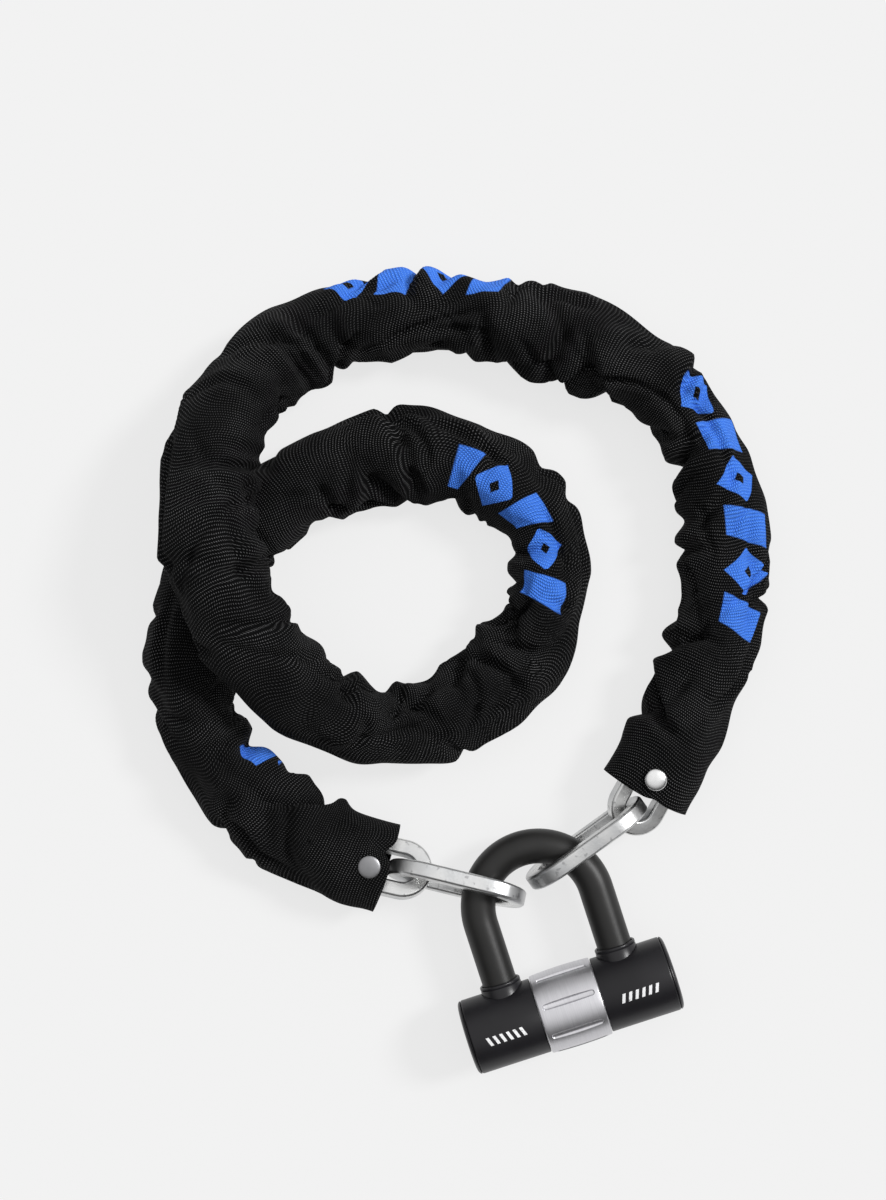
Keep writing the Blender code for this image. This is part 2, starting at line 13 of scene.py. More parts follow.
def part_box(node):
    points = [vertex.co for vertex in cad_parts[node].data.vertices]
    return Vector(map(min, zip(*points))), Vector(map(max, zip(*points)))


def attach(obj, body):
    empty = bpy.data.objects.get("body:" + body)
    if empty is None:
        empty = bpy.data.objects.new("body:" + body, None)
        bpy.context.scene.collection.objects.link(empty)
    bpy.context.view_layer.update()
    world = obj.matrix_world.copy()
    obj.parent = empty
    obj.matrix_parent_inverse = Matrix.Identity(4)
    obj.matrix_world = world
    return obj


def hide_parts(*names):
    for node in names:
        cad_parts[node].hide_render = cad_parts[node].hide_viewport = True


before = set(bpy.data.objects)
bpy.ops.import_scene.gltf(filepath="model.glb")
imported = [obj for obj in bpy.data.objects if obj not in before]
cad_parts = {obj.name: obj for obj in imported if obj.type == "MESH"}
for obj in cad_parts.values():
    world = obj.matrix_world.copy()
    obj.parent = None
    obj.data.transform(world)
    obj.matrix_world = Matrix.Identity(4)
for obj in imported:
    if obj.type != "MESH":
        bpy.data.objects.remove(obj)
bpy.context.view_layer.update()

# ---- Dimensions that part.py states too ----
LOCK = Vector((-0.0093, -0.1925, 0.0218))
LEG_X, ARCH_Y = 0.0325, 0.0560
COAT_RADIUS, COAT_INNER_RADIUS, COAT_END_Y = 0.0094, 0.00835, 0.0183
COVER_RADIUS, COVER_INNER_RADIUS = 0.02025, 0.0180
COVER_START, COVER_END, CAP_FACE = 0.0173, 0.0560, 0.0583
BAND_HALF, BAND_RADIUS, BAND_RIM_RADIUS = 0.0169, 0.0218, 0.0212
BAND_WINDOW_RADIUS = 0.0070
COLLAR_RADIUS, COLLAR_INNER_RADIUS, COLLAR_TOP_Y = 0.0112, 0.0098, 0.0240
BODY_RADIUS = 0.0176
LEG_RADIUS, FOOT_Y = 0.0080, -0.0110
NOTCH_RADIUS, NOTCH_START, NOTCH_END = 0.0044, 0.0222, 0.0300
BAR = 0.0085
CROSS_INNER = (0.0150, 0.0410)
END_INNER = (0.0240, 0.0590)
SLEEVE_LENGTH, MOUTH_HEIGHT = 1.32, 0.0325
RIVET_PLANE, RIVET_RADIUS = 0.0364, 0.0060

# ---- The cloth and the colours ----
CLOTH_THICKNESS, CLOTH_REACH, GROUND = 0.0010, 0.0296, 0.0002
RIB_PITCH, YARN_PITCH = 0.00162, 0.0013
PRINT_PITCH, PRINT_HALF, PRINT_EDGE = 0.0235, 0.0145, 0.022
PAINT_BLACKS = ((0.0075, 0.0070, 0.0085), (0.011, 0.0105, 0.0125))
VINYL_BLACKS = ((0.0085, 0.0083, 0.0080), (0.013, 0.0125, 0.012))
# The printed rows: (first distance along, last distance along, degrees round)
PRINT_ROWS = [(0.094, 0.235, 122.0), (0.330, 0.424, 165.0), (0.836, 0.945, 76.0),
              (1.206, 1.232, 8.0)]
# The notch in each mouth's rim beside its rivet: (angle round, depth, reach round, and the
# reach round of the dip there)
RIGHT_NOTCH, LEFT_NOTCH = (1.81, 0.0010, 0.17, 0.24), (1.12, 0.0044, 0.20, 0.28)


# ---- The sleeve's course ----
# Its middle line from the right mouth to the left mouth, from the crossbar's middle
# in X and Y and from the ground in Z
ROUTE = [
    (0.073, 0.096, 0.0192), (0.091, 0.113, 0.0201), (0.108, 0.131, 0.0201),
    (0.128, 0.155, 0.0201), (0.146, 0.183, 0.0201), (0.158, 0.214, 0.0201),
    (0.163, 0.246, 0.0201), (0.160, 0.279, 0.0201), (0.147, 0.308, 0.0201),
    (0.126, 0.331, 0.0201), (0.101, 0.348, 0.0201), (0.072, 0.365, 0.0201),
    (0.040, 0.378, 0.0201), (0.006, 0.385, 0.0210), (-0.028, 0.384, 0.0255),
    (-0.058, 0.373, 0.0350), (-0.082, 0.351, 0.0470), (-0.098, 0.322, 0.0565),
    (-0.105, 0.290, 0.0612), (-0.103, 0.255, 0.0570), (-0.094, 0.222, 0.0480),
    (-0.077, 0.194, 0.0370), (-0.052, 0.175, 0.0270), (-0.022, 0.170, 0.0215),
    (0.010, 0.176, 0.0203), (0.039, 0.191, 0.0201), (0.059, 0.215, 0.0201),
    (0.066, 0.245, 0.0201), (0.056, 0.274, 0.0201), (0.032, 0.298, 0.0201),
    (0.001, 0.311, 0.0201), (-0.033, 0.313, 0.0201), (-0.066, 0.308, 0.0201),
    (-0.097, 0.293, 0.0201), (-0.124, 0.269, 0.0201), (-0.141, 0.237, 0.0201),
    (-0.144, 0.203, 0.0201), (-0.133, 0.168, 0.0201), (-0.106, 0.127, 0.0201),
    (-0.071, 0.100, 0.0192),
]
# The sleeve's width where it bulges and narrows: (distance along, width)
WIDTHS = [
    (0.000, 0.050), (0.045, 0.046), (0.085, 0.042), (0.125, 0.043), (0.163, 0.047),
    (0.195, 0.035), (0.226, 0.036), (0.255, 0.039), (0.284, 0.049), (0.310, 0.053),
    (0.338, 0.037), (0.365, 0.038), (0.392, 0.044), (0.417, 0.042), (0.448, 0.047),
    (0.475, 0.043), (0.504, 0.041), (0.532, 0.048), (0.560, 0.050), (0.620, 0.050),
    (0.693, 0.042), (0.722, 0.036), (0.749, 0.045), (0.777, 0.047), (0.805, 0.052),
    (0.836, 0.038), (0.865, 0.037), (0.892, 0.036), (0.920, 0.042), (0.949, 0.047),
    (0.973, 0.048), (1.000, 0.046), (1.029, 0.040), (1.070, 0.044), (1.110, 0.046),
    (1.150, 0.043), (1.182, 0.038), (1.220, 0.045), (1.254, 0.051), (1.285, 0.048),
    (1.320, 0.050),
]
# The long tucks across the sleeve: (distance along, angle round, depth, reach round, slant)
TUCKS = [
    (0.140, 0.40, 0.0045, 0.60, 0.004), (0.202, 1.25, 0.0045, 0.70, 0.005),
    (0.300, 1.10, 0.0048, 0.80, -0.004), (0.340, 0.95, 0.0050, 0.70, 0.006),
    (0.440, 1.25, 0.0048, 0.85, 0.004), (0.457, 1.05, 0.0052, 0.85, 0.004),
    (0.536, 0.80, 0.0064, 0.95, 0.003), (0.690, 0.35, 0.0040, 0.90, 0.004),
    (0.970, 1.50, 0.0056, 1.20, 0.005), (1.019, 0.90, 0.0040, 0.50, 0.004),
]


# ---- Shapes ----
def put_mesh(name, shape, place):
    """A finished bmesh as an object in the scene."""
    bmesh.ops.recalc_face_normals(shape, faces=shape.faces)
    mesh = bpy.data.meshes.new(name)
    shape.to_mesh(mesh)
    shape.free()
    thing = bpy.data.objects.new(name, mesh)
    thing.matrix_world = place
    bpy.context.collection.objects.link(thing)
    bpy.context.view_layer.update()
    return thing


def polish(target, angle=38.0):
    """Smooth shading, with every edge above the angle kept sharp."""
    target.data.shade_smooth()
    target.data.set_sharp_from_angle(angle=math.radians(angle))


def cut_with(target, name, shape, place):
    """Cut a shape out of an object."""
    cutter = put_mesh(name, shape, place)
    step = target.modifiers.new(name, "BOOLEAN")
    step.operation = "DIFFERENCE"
    step.solver = "EXACT"
    step.object = cutter
    bpy.context.view_layer.objects.active = target
    with bpy.context.temp_override(object=target, active_object=target):
        bpy.ops.object.modifier_apply(modifier=name)
    bpy.data.objects.remove(cutter, do_unlink=True)


def add_piece(name, shape, finish, place, body, node, cuts=(), angle=38.0):
    """A piece that rides on a body in a CAD node's place; cuts are (name, shape, place)."""
    piece = put_mesh(name, shape, place)
    piece.data.materials.append(finish)
    for cut in cuts:
        cut_with(piece, *cut)
    polish(piece, angle)
    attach(piece, body)
    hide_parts(node)
    return piece


def bridge(shape, first, second):
    """Faces between two rings of the same number of points."""
    count = len(first)
    for i in range(count):
        j = (i + 1) % count
        shape.faces.new((first[i], first[j], second[j], second[i]))


def swept(rings, closed=False):
    """A solid through rings of points, with flat ends unless it closes on itself."""
    shape = bmesh.new()
    made = [[shape.verts.new(p) for p in ring] for ring in rings]
    for first, second in zip(made, made[1:]):
        bridge(shape, first, second)
    if closed:
        bridge(shape, made[-1], made[0])
    else:
        shape.faces.new(made[0])
        shape.faces.new(made[-1])
    return shape


def circle(along, radius, sides):
    turns = [2 * math.pi * i / sides for i in range(sides)]
    return [Vector((along, radius * math.cos(a), radius * math.sin(a))) for a in turns]


def rounded(along, radius, deep, wide, angles):
    """Points of a rounded corner from its centre, as (along, radius) pairs."""
    return [(along + deep * math.sin(a), radius + wide * math.cos(a))
            for a in (math.radians(angle) for angle in angles)]


def turned(profile, sides=64, closed=False):
    """Turned about X from (along, radius) pairs; a closed profile makes a ring."""
    return swept([circle(x, radius, sides) for x, radius in profile], closed)


def middle_of(node):
    low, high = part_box(node)
    return (low + high) / 2


def at(place, turn=None):
    return Matrix.Translation(place) @ (turn or Matrix.Identity(4))


ALONG_Y = Matrix.Rotation(math.radians(90.0), 4, "Z")
ALONG_Z = Matrix.Rotation(math.radians(-90.0), 4, "Y")


# ---- Materials ----
class Nodes:
    """A material and short ways of adding nodes to it."""

    def __init__(self, name):
        self.material = bpy.data.materials.new(name)
        self.material.use_nodes = True
        self.tree = self.material.node_tree
        self.shader = self.tree.nodes["Principled BSDF"]

    def new(self, kind, settings=None, **inputs):
        node = self.tree.nodes.new(kind)
        for key, value in (settings or {}).items():
            setattr(node, key, value)
        for key, value in inputs.items():
            self.put(node.inputs[key], value)
        return node

    def put(self, socket, value):
        if isinstance(value, bpy.types.NodeSocket):
            self.tree.links.new(value, socket)
        elif isinstance(value, tuple) and socket.type == "RGBA":
            socket.default_value = (*value, 1.0)[:4]
        else:
            socket.default_value = value

    def math(self, operation, a, b=None, c=None, clamp=False):
        node = self.new("ShaderNodeMath", {"operation": operation, "use_clamp": clamp})
        for socket, value in zip(node.inputs, (a, b, c)):
            if value is not None:
                self.put(socket, value)
        return node.outputs[0]

    def mix(self, factor, a, b):
        node = self.new("ShaderNodeMix", {"data_type": "RGBA"})
        for index, value in ((0, factor), (6, a), (7, b)):
            self.put(node.inputs[index], value)
        return node.outputs[2]

    def place(self):
        """The point in the object's own coordinates."""
        return self.new("ShaderNodeTexCoord").outputs["Object"]

    def noise(self, scale, detail=2.0, vector=None, roughness=0.5):
        node = self.new("ShaderNodeTexNoise", Scale=scale, Detail=detail, Roughness=roughness)
        self.put(node.inputs["Vector"], vector or self.place())
        return node.outputs["Fac"]

    def stretched(self, x, y, z):
        node = self.new("ShaderNodeMapping")
        self.put(node.inputs["Vector"], self.place())
        node.inputs["Scale"].default_value = (x, y, z)
        return node.outputs[0]

    def ramp(self, value, low, high):
        """Rise smoothly from 0 at low to 1 at high; low may be the greater."""
        node = self.new("ShaderNodeMapRange", {"interpolation_type": "SMOOTHSTEP"})
        for index, number in ((0, value), (1, low), (2, high)):
            self.put(node.inputs[index], number)
        return node.outputs[0]

    def between(self, value, low, high):
        """Scale a 0 to 1 value to a range."""
        return self.math("MULTIPLY_ADD", value, high - low, low)

    def bump(self, height, distance, strength=1.0):
        node = self.new("ShaderNodeBump", Height=height, Distance=distance, Strength=strength)
        return node.outputs[0]

    def split(self, vector):
        return self.new("ShaderNodeSeparateXYZ", Vector=vector).outputs

    def attribute(self, name):
        return self.new("ShaderNodeAttribute", {"attribute_name": name}).outputs["Vector"]

    def wave(self, value):
        """A sine of period 1, from 0 to 1."""
        turn = self.math("MULTIPLY", value, 2 * math.pi)
        return self.math("MULTIPLY_ADD", self.math("SINE", turn), 0.5, 0.5)

    def finish(self, **sockets):
        """Set the shader's sockets: Base_Color=..., Roughness=... and so on."""
        for key, value in sockets.items():
            self.put(self.shader.inputs[key.replace("_", " ")], value)
        return self.material


def forged_steel(name, bright=0.66, rough=0.26):
    """Bright zinc-plated steel with grey clouds and small dark pits."""
    n = Nodes(name)
    coarse, fine, pits = n.noise(55.0, 4.0), n.noise(900.0, 3.0), n.noise(260.0, 2.0)
    cloud = n.ramp(coarse, 0.30, 0.72)
    speck = n.ramp(pits, 0.60, 0.74)
    tone = n.mix(cloud, (bright * 0.70, bright * 0.71, bright * 0.72),
                 (bright, bright, bright * 0.99))
    tone = n.mix(n.math("MULTIPLY", speck, 0.60), tone, (0.14, 0.14, 0.15))
    uneven = n.math("ADD", n.between(cloud, rough + 0.10, rough - 0.04),
                    n.math("MULTIPLY", fine, 0.10))
    height = n.math("ADD", n.math("MULTIPLY", pits, 0.6), n.math("MULTIPLY", fine, 0.4))
    return n.finish(Base_Color=tone, Metallic=1.0, Roughness=uneven,
                    Normal=n.bump(height, 0.00025, 0.5))


def plain_metal(name, colour, rough):
    """Smooth metal with a faint grain along X."""
    n = Nodes(name)
    grain = n.noise(600.0, 3.0, n.stretched(0.25, 1.0, 1.0))
    cloud = n.noise(70.0, 3.0)
    dark = tuple(c * 0.82 for c in colour)
    return n.finish(Base_Color=n.mix(n.ramp(cloud, 0.3, 0.7), dark, colour), Metallic=1.0,
                    Roughness=n.between(grain, rough - 0.05, rough + 0.12),
                    Normal=n.bump(grain, 0.00008, 0.5))


def satin_black(name, blacks, rough, grain_scale, depth):
    """Black vinyl or paint with a faint orange peel and a slightly uneven gloss."""
    n = Nodes(name)
    peel = n.noise(grain_scale, 3.0)
    cloud = n.noise(38.0, 2.0)
    return n.finish(Base_Color=n.mix(n.ramp(cloud, 0.3, 0.7), *blacks),
                    Roughness=n.between(cloud, rough - 0.05, rough + 0.06),
                    Specular_IOR_Level=0.34,
                    Normal=n.bump(peel, depth, 0.6))


def brushed_silver():
    n = Nodes("satin_silver_brushed")
    # Brushing runs round the band, so it changes quickly along X only
    lines = n.noise(40.0, 4.0, n.stretched(60.0, 1.5, 1.5), 0.7)
    cloud = n.noise(60.0, 2.0)
    tone = n.mix(n.ramp(lines, 0.35, 0.65), (0.575, 0.570, 0.595), (0.640, 0.635, 0.660))
    return n.finish(Base_Color=tone, Metallic=1.0,
                    Roughness=n.math("ADD", n.between(lines, 0.31, 0.35),
                                     n.math("MULTIPLY", cloud, 0.06)),
                    Normal=n.bump(lines, 0.000006, 0.4))


def marked_paint():
    """The covers' satin black, with a generic row of slanted white bars on each."""
    n = Nodes("crossbar_paint_marked")
    peel, cloud = n.noise(700.0, 3.0), n.noise(38.0, 2.0)
    x, y, z = n.split(n.place())
    turn = n.math("ARCTAN2", n.math("MULTIPLY", y, -1.0), z)
    up = n.math("MULTIPLY", n.math("SUBTRACT", turn, 0.07), COVER_RADIUS)
    along = n.math("SUBTRACT", n.math("ABSOLUTE", x), 0.0374)
    # Six bars to a row, 1 / 270 m apart
    row = n.math("MULTIPLY", n.math("MULTIPLY_ADD", up, 0.35, along), 270.0)
    bars = n.math("FRACT", row)
    bars = n.math("MULTIPLY", n.ramp(bars, 0.22, 0.27), n.ramp(bars, 0.73, 0.68))
    reach, height = n.math("ABSOLUTE", row), n.math("ABSOLUTE", up)
    inside = n.math("MULTIPLY", n.ramp(reach, 3.02, 3.0), n.ramp(height, 0.0025, 0.0023))
    white = n.math("MULTIPLY", n.math("MULTIPLY", inside, bars), n.ramp(peel, 0.20, 0.42))
    black = n.mix(n.ramp(cloud, 0.3, 0.7), *PAINT_BLACKS)
    return n.finish(Base_Color=n.mix(white, black, (0.78, 0.78, 0.79)),
                    Roughness=n.between(cloud, 0.30, 0.40), Specular_IOR_Level=0.30,
                    Normal=n.bump(peel, 0.00003, 0.6))


def woven_nylon():
    """Ribs across the strap, each a row of short yarn floats, and a blue print; the floats'
    raised tops are painted lighter as a painted sheen and the valleys between them stay dark as
    painted shade.
    """
    n = Nodes("woven_nylon_ribbed")
    along, around, _ = n.split(n.attribute("cloth"))
    wobble = n.between(n.noise(90.0, 2.0), -0.0008, 0.0008)
    rib = n.math("MULTIPLY", n.math("ADD", along, wobble), 1.0 / RIB_PITCH)
    row = n.math("FLOOR", n.math("ADD", rib, 0.25))
    yarn = n.math("ADD", n.math("MULTIPLY", around, 1.0 / YARN_PITCH),
                  n.math("MULTIPLY", row, 0.5))
    weave = n.math("MULTIPLY", n.wave(rib), n.between(n.wave(yarn), 0.20, 1.0))
    patch = n.ramp(n.noise(28.0, 3.0), 0.30, 0.70)
    # Painted sheen: the raised tops of the yarn floats are painted pale grey, more strongly in
    # random patches, while the valleys stay near black as painted shade
    painted_sheen = n.math("MULTIPLY", n.ramp(weave, 0.42, 0.95), n.between(patch, 0.35, 1.0))
    black = n.mix(painted_sheen, (0.0018, 0.0018, 0.0020), (0.110, 0.110, 0.112))
    # The print's blue is painted lighter on the floats' tops as a painted sheen and darker in the
    # valleys between them as painted shade
    blue = n.mix(n.ramp(weave, 0.05, 0.85), (0.040, 0.150, 0.620), (0.105, 0.310, 0.980))
    colour = n.mix(print_mask(n, n.attribute("mark")), black, blue)
    return n.finish(Base_Color=colour, Roughness=n.between(painted_sheen, 0.80, 0.58),
                    Sheen_Weight=0.01, Sheen_Roughness=0.5, Specular_IOR_Level=0.05,
                    Normal=n.bump(weave, 0.0007, 1.0))


def print_mask(n, mark):
    """Slanted blocks and lozenges in a row: 1 where the cloth is printed."""
    along, across, shown = n.split(mark)
    cell = n.math("MULTIPLY", along, 1.0 / PRINT_PITCH)
    local = n.math("SUBTRACT", n.math("FRACT", cell), 0.5)
    odd = n.math("MODULO", n.math("FLOOR", cell), 2.0)
    side = n.math("MULTIPLY", across, 1.0 / PRINT_HALF)
    reach = n.math("ABSOLUTE", side)
    # A slanted block
    slanted = n.math("ABSOLUTE", n.math("MULTIPLY_ADD", side, 0.16, local))
    block = n.math("MULTIPLY", n.ramp(slanted, 0.36, 0.32), n.ramp(reach, 1.0, 0.93))
    # A lozenge with a dark middle
    diamond = n.math("ADD", n.math("MULTIPLY", n.math("ABSOLUTE", local), 2.0), reach)
    ring = n.math("MULTIPLY", n.ramp(diamond, 1.10, 1.03), n.ramp(diamond, 0.24, 0.31))
    shape = n.math("ADD", n.math("MULTIPLY", block, n.math("SUBTRACT", 1.0, odd)),
                   n.math("MULTIPLY", ring, odd))
    return n.math("MULTIPLY", shape, shown, clamp=True)


# ---- The sleeve ----
def catmull(points, steps):
    """A smooth curve through the points, from the crossbar's middle to the scene's own."""
    knots = [Vector(p) + Vector((LOCK.x, LOCK.y, 0.0)) for p in points]
    knots = [2 * knots[0] - knots[1], *knots, 2 * knots[-1] - knots[-2]]
    out = []
    for before, start, end, after in zip(knots, knots[1:], knots[2:], knots[3:]):
        for i in range(steps):
            t = i / steps
            out.append(0.5 * (
                2 * start + (end - before) * t
                + (2 * before - 5 * start + 4 * end - after) * t**2
                + (3 * start - before - 3 * end + after) * t**3
            ))
    out.append(knots[-2])
    return np.array(out)


class Line:
    """The sleeve's middle line by distance along it."""

    def __init__(self):
        self.points = catmull(ROUTE, 40)
        steps = np.linalg.norm(np.diff(self.points, axis=0), axis=1)
        self.distance = np.concatenate([[0.0], np.cumsum(steps)])
        self.length = float(self.distance[-1])

    def at(self, s):
        return np.stack([np.interp(s, self.distance, self.points[:, k]) for k in range(3)],
                        axis=-1)

    def heading(self, s, reach=0.006):
        s = np.clip(s, reach, self.length - reach)
        step = self.at(s + reach) - self.at(s - reach)
        return step / np.linalg.norm(step, axis=-1, keepdims=True)


def smooth(x):
    x = np.clip(x, 0.0, 1.0)
    return x * x * (3 - 2 * x)


def turn_gap(a, b):
    """The shortest way round from b to a."""
    return (a - b + math.pi) % (2 * math.pi) - math.pi


def crease(x, sharp, soft):
    """A tuck across the cloth: a steep drop on one side, a long lip on the other."""
    steep = np.exp(-((x / sharp) ** 2))
    lip = np.exp(-(((x - 2.2 * sharp) / soft) ** 2)) * (x > 2.2 * sharp)
    lip += np.exp(-(((x - 2.2 * sharp) / (0.9 * sharp)) ** 2)) * (x <= 2.2 * sharp)
    back = np.exp(-(((x + 2.4 * sharp) / (1.6 * sharp)) ** 2))
    return -steep + 0.75 * lip + 0.30 * back


def folds(S, T, bend, length):
    """Creases with raised lips: many on the inside of the bends, some anywhere, some along it."""
    draw = random.Random(41)
    total = np.zeros_like(S)
    for kind, count in (("inner", 42), ("broad", 70), ("small", 44)):
        for k in range(count):
            s = 0.03 + (length - 0.06) * (k + draw.uniform(0.1, 0.9)) / count
            curve = float(np.interp(s, bend[0], bend[1]))
            inner = 0.0 if curve > 0 else math.pi
            if kind == "inner":
                angle = inner + draw.gauss(0.0, 0.45)
                depth, reach = draw.uniform(0.0018, 0.0050), draw.uniform(0.55, 1.20)
                sharp, soft = draw.uniform(0.0028, 0.0052), draw.uniform(0.009, 0.019)
            elif kind == "broad":
                angle = math.pi / 2 + draw.gauss(0.0, 1.1)
                depth, reach = draw.uniform(0.0018, 0.0046), draw.uniform(0.45, 1.00)
                sharp, soft = draw.uniform(0.0020, 0.0042), draw.uniform(0.008, 0.020)
            else:
                angle = draw.uniform(0.0, 2 * math.pi)
                depth, reach = draw.uniform(0.0006, 0.0016), draw.uniform(0.25, 0.60)
                sharp, soft = draw.uniform(0.0014, 0.0024), draw.uniform(0.003, 0.006)
            slant, curl = draw.gauss(0.0, 0.014), draw.gauss(0.0, 0.008)
            flip = draw.choice((-1, 1))
            gap = turn_gap(T, angle)
            x = flip * (S - s - slant * gap - curl * gap * gap)
            near = np.abs(x) < 0.04
            shape = crease(np.where(near, x, 1.0), sharp, soft)
            total += depth * shape * np.exp(-((np.abs(gap) / reach) ** 3))
    # Creases that run along the sleeve
    for k in range(34):
        s = 0.04 + (length - 0.08) * (k + draw.uniform(0.1, 0.9)) / 34
        angle, depth = math.pi / 2 + draw.gauss(0.0, 1.0), draw.uniform(0.0016, 0.0040)
        half, lean = draw.uniform(0.012, 0.034), draw.gauss(0.0, 0.20)
        x = draw.choice((-1, 1)) * (0.021 * turn_gap(T, angle) + lean * (S - s))
        total += depth * crease(x, draw.uniform(0.0018, 0.0034), 0.007) * np.exp(
            -((np.abs(S - s) / half) ** 3))
    # The deepest tuck is where this run turns down over the other one
    for s, angle, depth, reach, slant in TUCKS:
        gap = turn_gap(T, angle)
        total += depth * crease(S - s - slant * gap, 0.0032, 0.011) * np.exp(
            -((np.abs(gap) / reach) ** 3))
    return total


def waves(S, T, seed, along, around, count):
    """Soft unevenness: a sum of waves that close on themselves round the sleeve."""
    draw = random.Random(seed)
    total = np.zeros_like(S)
    for _ in range(count):
        k = 2 * math.pi * draw.uniform(0.5, 1.0) / along
        turns = draw.randint(0, around)
        total += np.cos(k * S + turns * T * draw.choice((-1, 1)) + draw.uniform(0, 6.28))
    return total / math.sqrt(count)


def link_tree():
    """The inner and cross links as one tree, to keep the cloth outside them."""
    points, faces = [], []
    for name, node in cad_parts.items():
        if name.startswith("chain_link") or name.endswith("cross_link"):
            start = len(points)
            points += [v.co.copy() for v in node.data.vertices]
            faces += [[start + i for i in p.vertices] for p in node.data.polygons]
    return BVHTree.FromPolygons(points, faces)


def sleeve_surface(line):
    """The sleeve's points before the links shape it, with the relief of its folds."""
    sides, spacing = 108, 0.00135
    count = round(line.length / spacing)
    s = np.linspace(0.0, line.length, count + 1)
    turn = np.arange(sides) * 2 * math.pi / sides
    S, T = np.meshgrid(s, turn, indexing="ij")
    centre, heading = line.at(s), line.heading(s)
    side = np.stack([-heading[:, 1], heading[:, 0], np.zeros(len(s))], axis=1)
    side /= np.linalg.norm(side, axis=1, keepdims=True)
    up = np.cross(heading, side)
    curve = np.gradient(np.unwrap(np.arctan2(heading[:, 1], heading[:, 0])), s)

    # 0 in the mouths, which are flatter and calmer, and 1 between them
    mouth = smooth((np.minimum(S, line.length - S) - 0.017) / 0.022)
    width = np.interp(s, *np.array(WIDTHS).T)
    width = np.convolve(np.pad(width, 4, mode="edge"), np.hanning(9) / np.hanning(9).sum(),
                        mode="valid")[:, None]
    height = 0.0365 + 0.10 * (0.044 - width)
    half_w = width / 2
    half_h = (MOUTH_HEIGHT + (height - MOUTH_HEIGHT) * mouth) / 2

    relief = folds(S, T, (s, curve), line.length)
    # Soft hollows and ridges: folded waves give the cloth its flat facets
    relief += 0.0016 * (0.8 - np.abs(waves(S, T, 7, 0.060, 3, 14)))
    relief += 0.0010 * waves(S, T, 9, 0.034, 3, 16)
    relief += 0.0003 * waves(S, T, 8, 0.018, 6, 26)
    relief *= 0.45 + 0.55 * mouth
    # Calm where one run lies on the other: the upper one's underside and the lower one's top
    calm = np.exp(-((S - 0.585) / 0.050) ** 2) * (np.sin(T) < 0.2)
    calm += np.exp(-((S - 1.088) / 0.040) ** 2) * (np.sin(T) > -0.2)
    calm = np.clip(calm, 0.0, 1.0)
    relief = relief * (1 - calm) + calm * np.minimum(relief, 0.0) * 0.5

    radial = (np.cos(T)[..., None] * side[:, None] + np.sin(T)[..., None] * up[:, None])
    flat = centre[:, None] + (
        (np.cos(T) * half_w)[..., None] * side[:, None]
        + (np.sin(T) * half_h)[..., None] * up[:, None]
    )
    return s, turn, centre, heading, flat, radial, relief


def draped(s, turn, centre, radial, tree, reach=0.040):
    """How far out the links reach in each direction, bridged over like taut cloth."""
    rows, cols = radial.shape[:2]
    least = 0.006
    far = np.full((rows, cols), least)
    for i in range(rows):
        for j in range(0, cols, 2):
            way = Vector(radial[i, j])
            start = Vector(centre[i]) + way * reach
            _, _, _, distance = tree.ray_cast(start, -way, reach)
            if distance is not None:
                far[i, j] = max(reach - distance, least)
        far[i, 1::2] = np.maximum(far[i, 0::2], np.roll(far[i, 0::2], -1))
    # How much it may drop from one point to the next along the sleeve and round it
    along, around = 0.42 * (s[1] - s[0]), 0.30 * 0.018 * (turn[1] - turn[0])
    for _ in range(60):
        far = np.maximum(far, np.roll(far, 1, axis=1) - around)
        far = np.maximum(far, np.roll(far, -1, axis=1) - around)
        far[1:] = np.maximum(far[1:], far[:-1] - along)
        far[:-1] = np.maximum(far[:-1], far[1:] - along)
    return blurred(far, 2)


def wrap_links(points, radial, tree, rounds, step, room):
    """How far each point moves outwards to be clear of the links."""
    rows, cols, _ = points.shape
    pushed = np.zeros((rows, cols))
    for i in range(rows):
        for j in range(cols):
            place = Vector(points[i, j])
            way = Vector(radial[i, j])
            for _ in range(rounds):
                near, normal, _, distance = tree.find_nearest(place, 0.012)
                if near is None:
                    break
                inside = (place - near).dot(normal) < 0
                if not inside and distance >= room:
                    break
                move = step if not inside else distance + step
                place += way * move
                pushed[i, j] += move
    return pushed


def blurred(field, rounds):
    """Average along the sleeve and round it."""
    for _ in range(rounds):
        around = (np.roll(field, 1, axis=1) + np.roll(field, -1, axis=1)) / 2
        padded = np.pad(field, ((1, 1), (0, 0)), mode="edge")
        along = (padded[:-2] + padded[2:]) / 2
        field = 0.4 * field + 0.3 * around + 0.3 * along
    return field


def print_marks(S, T, radius):
    """(along, across, shown) of the printed rows at every point of the cloth."""
    along, across, shown = np.zeros_like(S), np.ones_like(S), np.zeros_like(S)
    for start, end, angle in PRINT_ROWS:
        here = (S >= start - 0.012) & (S <= end + 0.012)
        gap = turn_gap(T, math.radians(angle)) * radius
        along = np.where(here, S - start, along)
        across = np.where(here, gap, across)
        inside = (np.minimum(S - start, end - S) > 0.0012) & (np.abs(gap) < PRINT_EDGE)
        shown = np.where(inside, 1.0, shown)
    return along, across, shown


def grid_mesh(name, points):
    """A tube from a grid of points, with the cloth's thickness inwards."""
    rows, cols, _ = points.shape
    faces = []
    for i in range(rows - 1):
        for j in range(cols):
            k = (j + 1) % cols
            faces.append((i * cols + j, i * cols + k, (i + 1) * cols + k, (i + 1) * cols + j))
    mesh = bpy.data.meshes.new(name)
    mesh.from_pydata(points.reshape(-1, 3).tolist(), [], faces)
    mesh.update()
    mesh.shade_smooth()
    thing = bpy.data.objects.new(name, mesh)
    bpy.context.collection.objects.link(thing)
    wall = thing.modifiers.new("wall", "SOLIDIFY")
    wall.thickness = CLOTH_THICKNESS
    wall.offset = -1.0
    return thing


def store(mesh, name, values):
    layer = mesh.attributes.new(name, "FLOAT_VECTOR", "POINT")
    layer.data.foreach_set("vector", np.ascontiguousarray(values, np.float32).ravel())


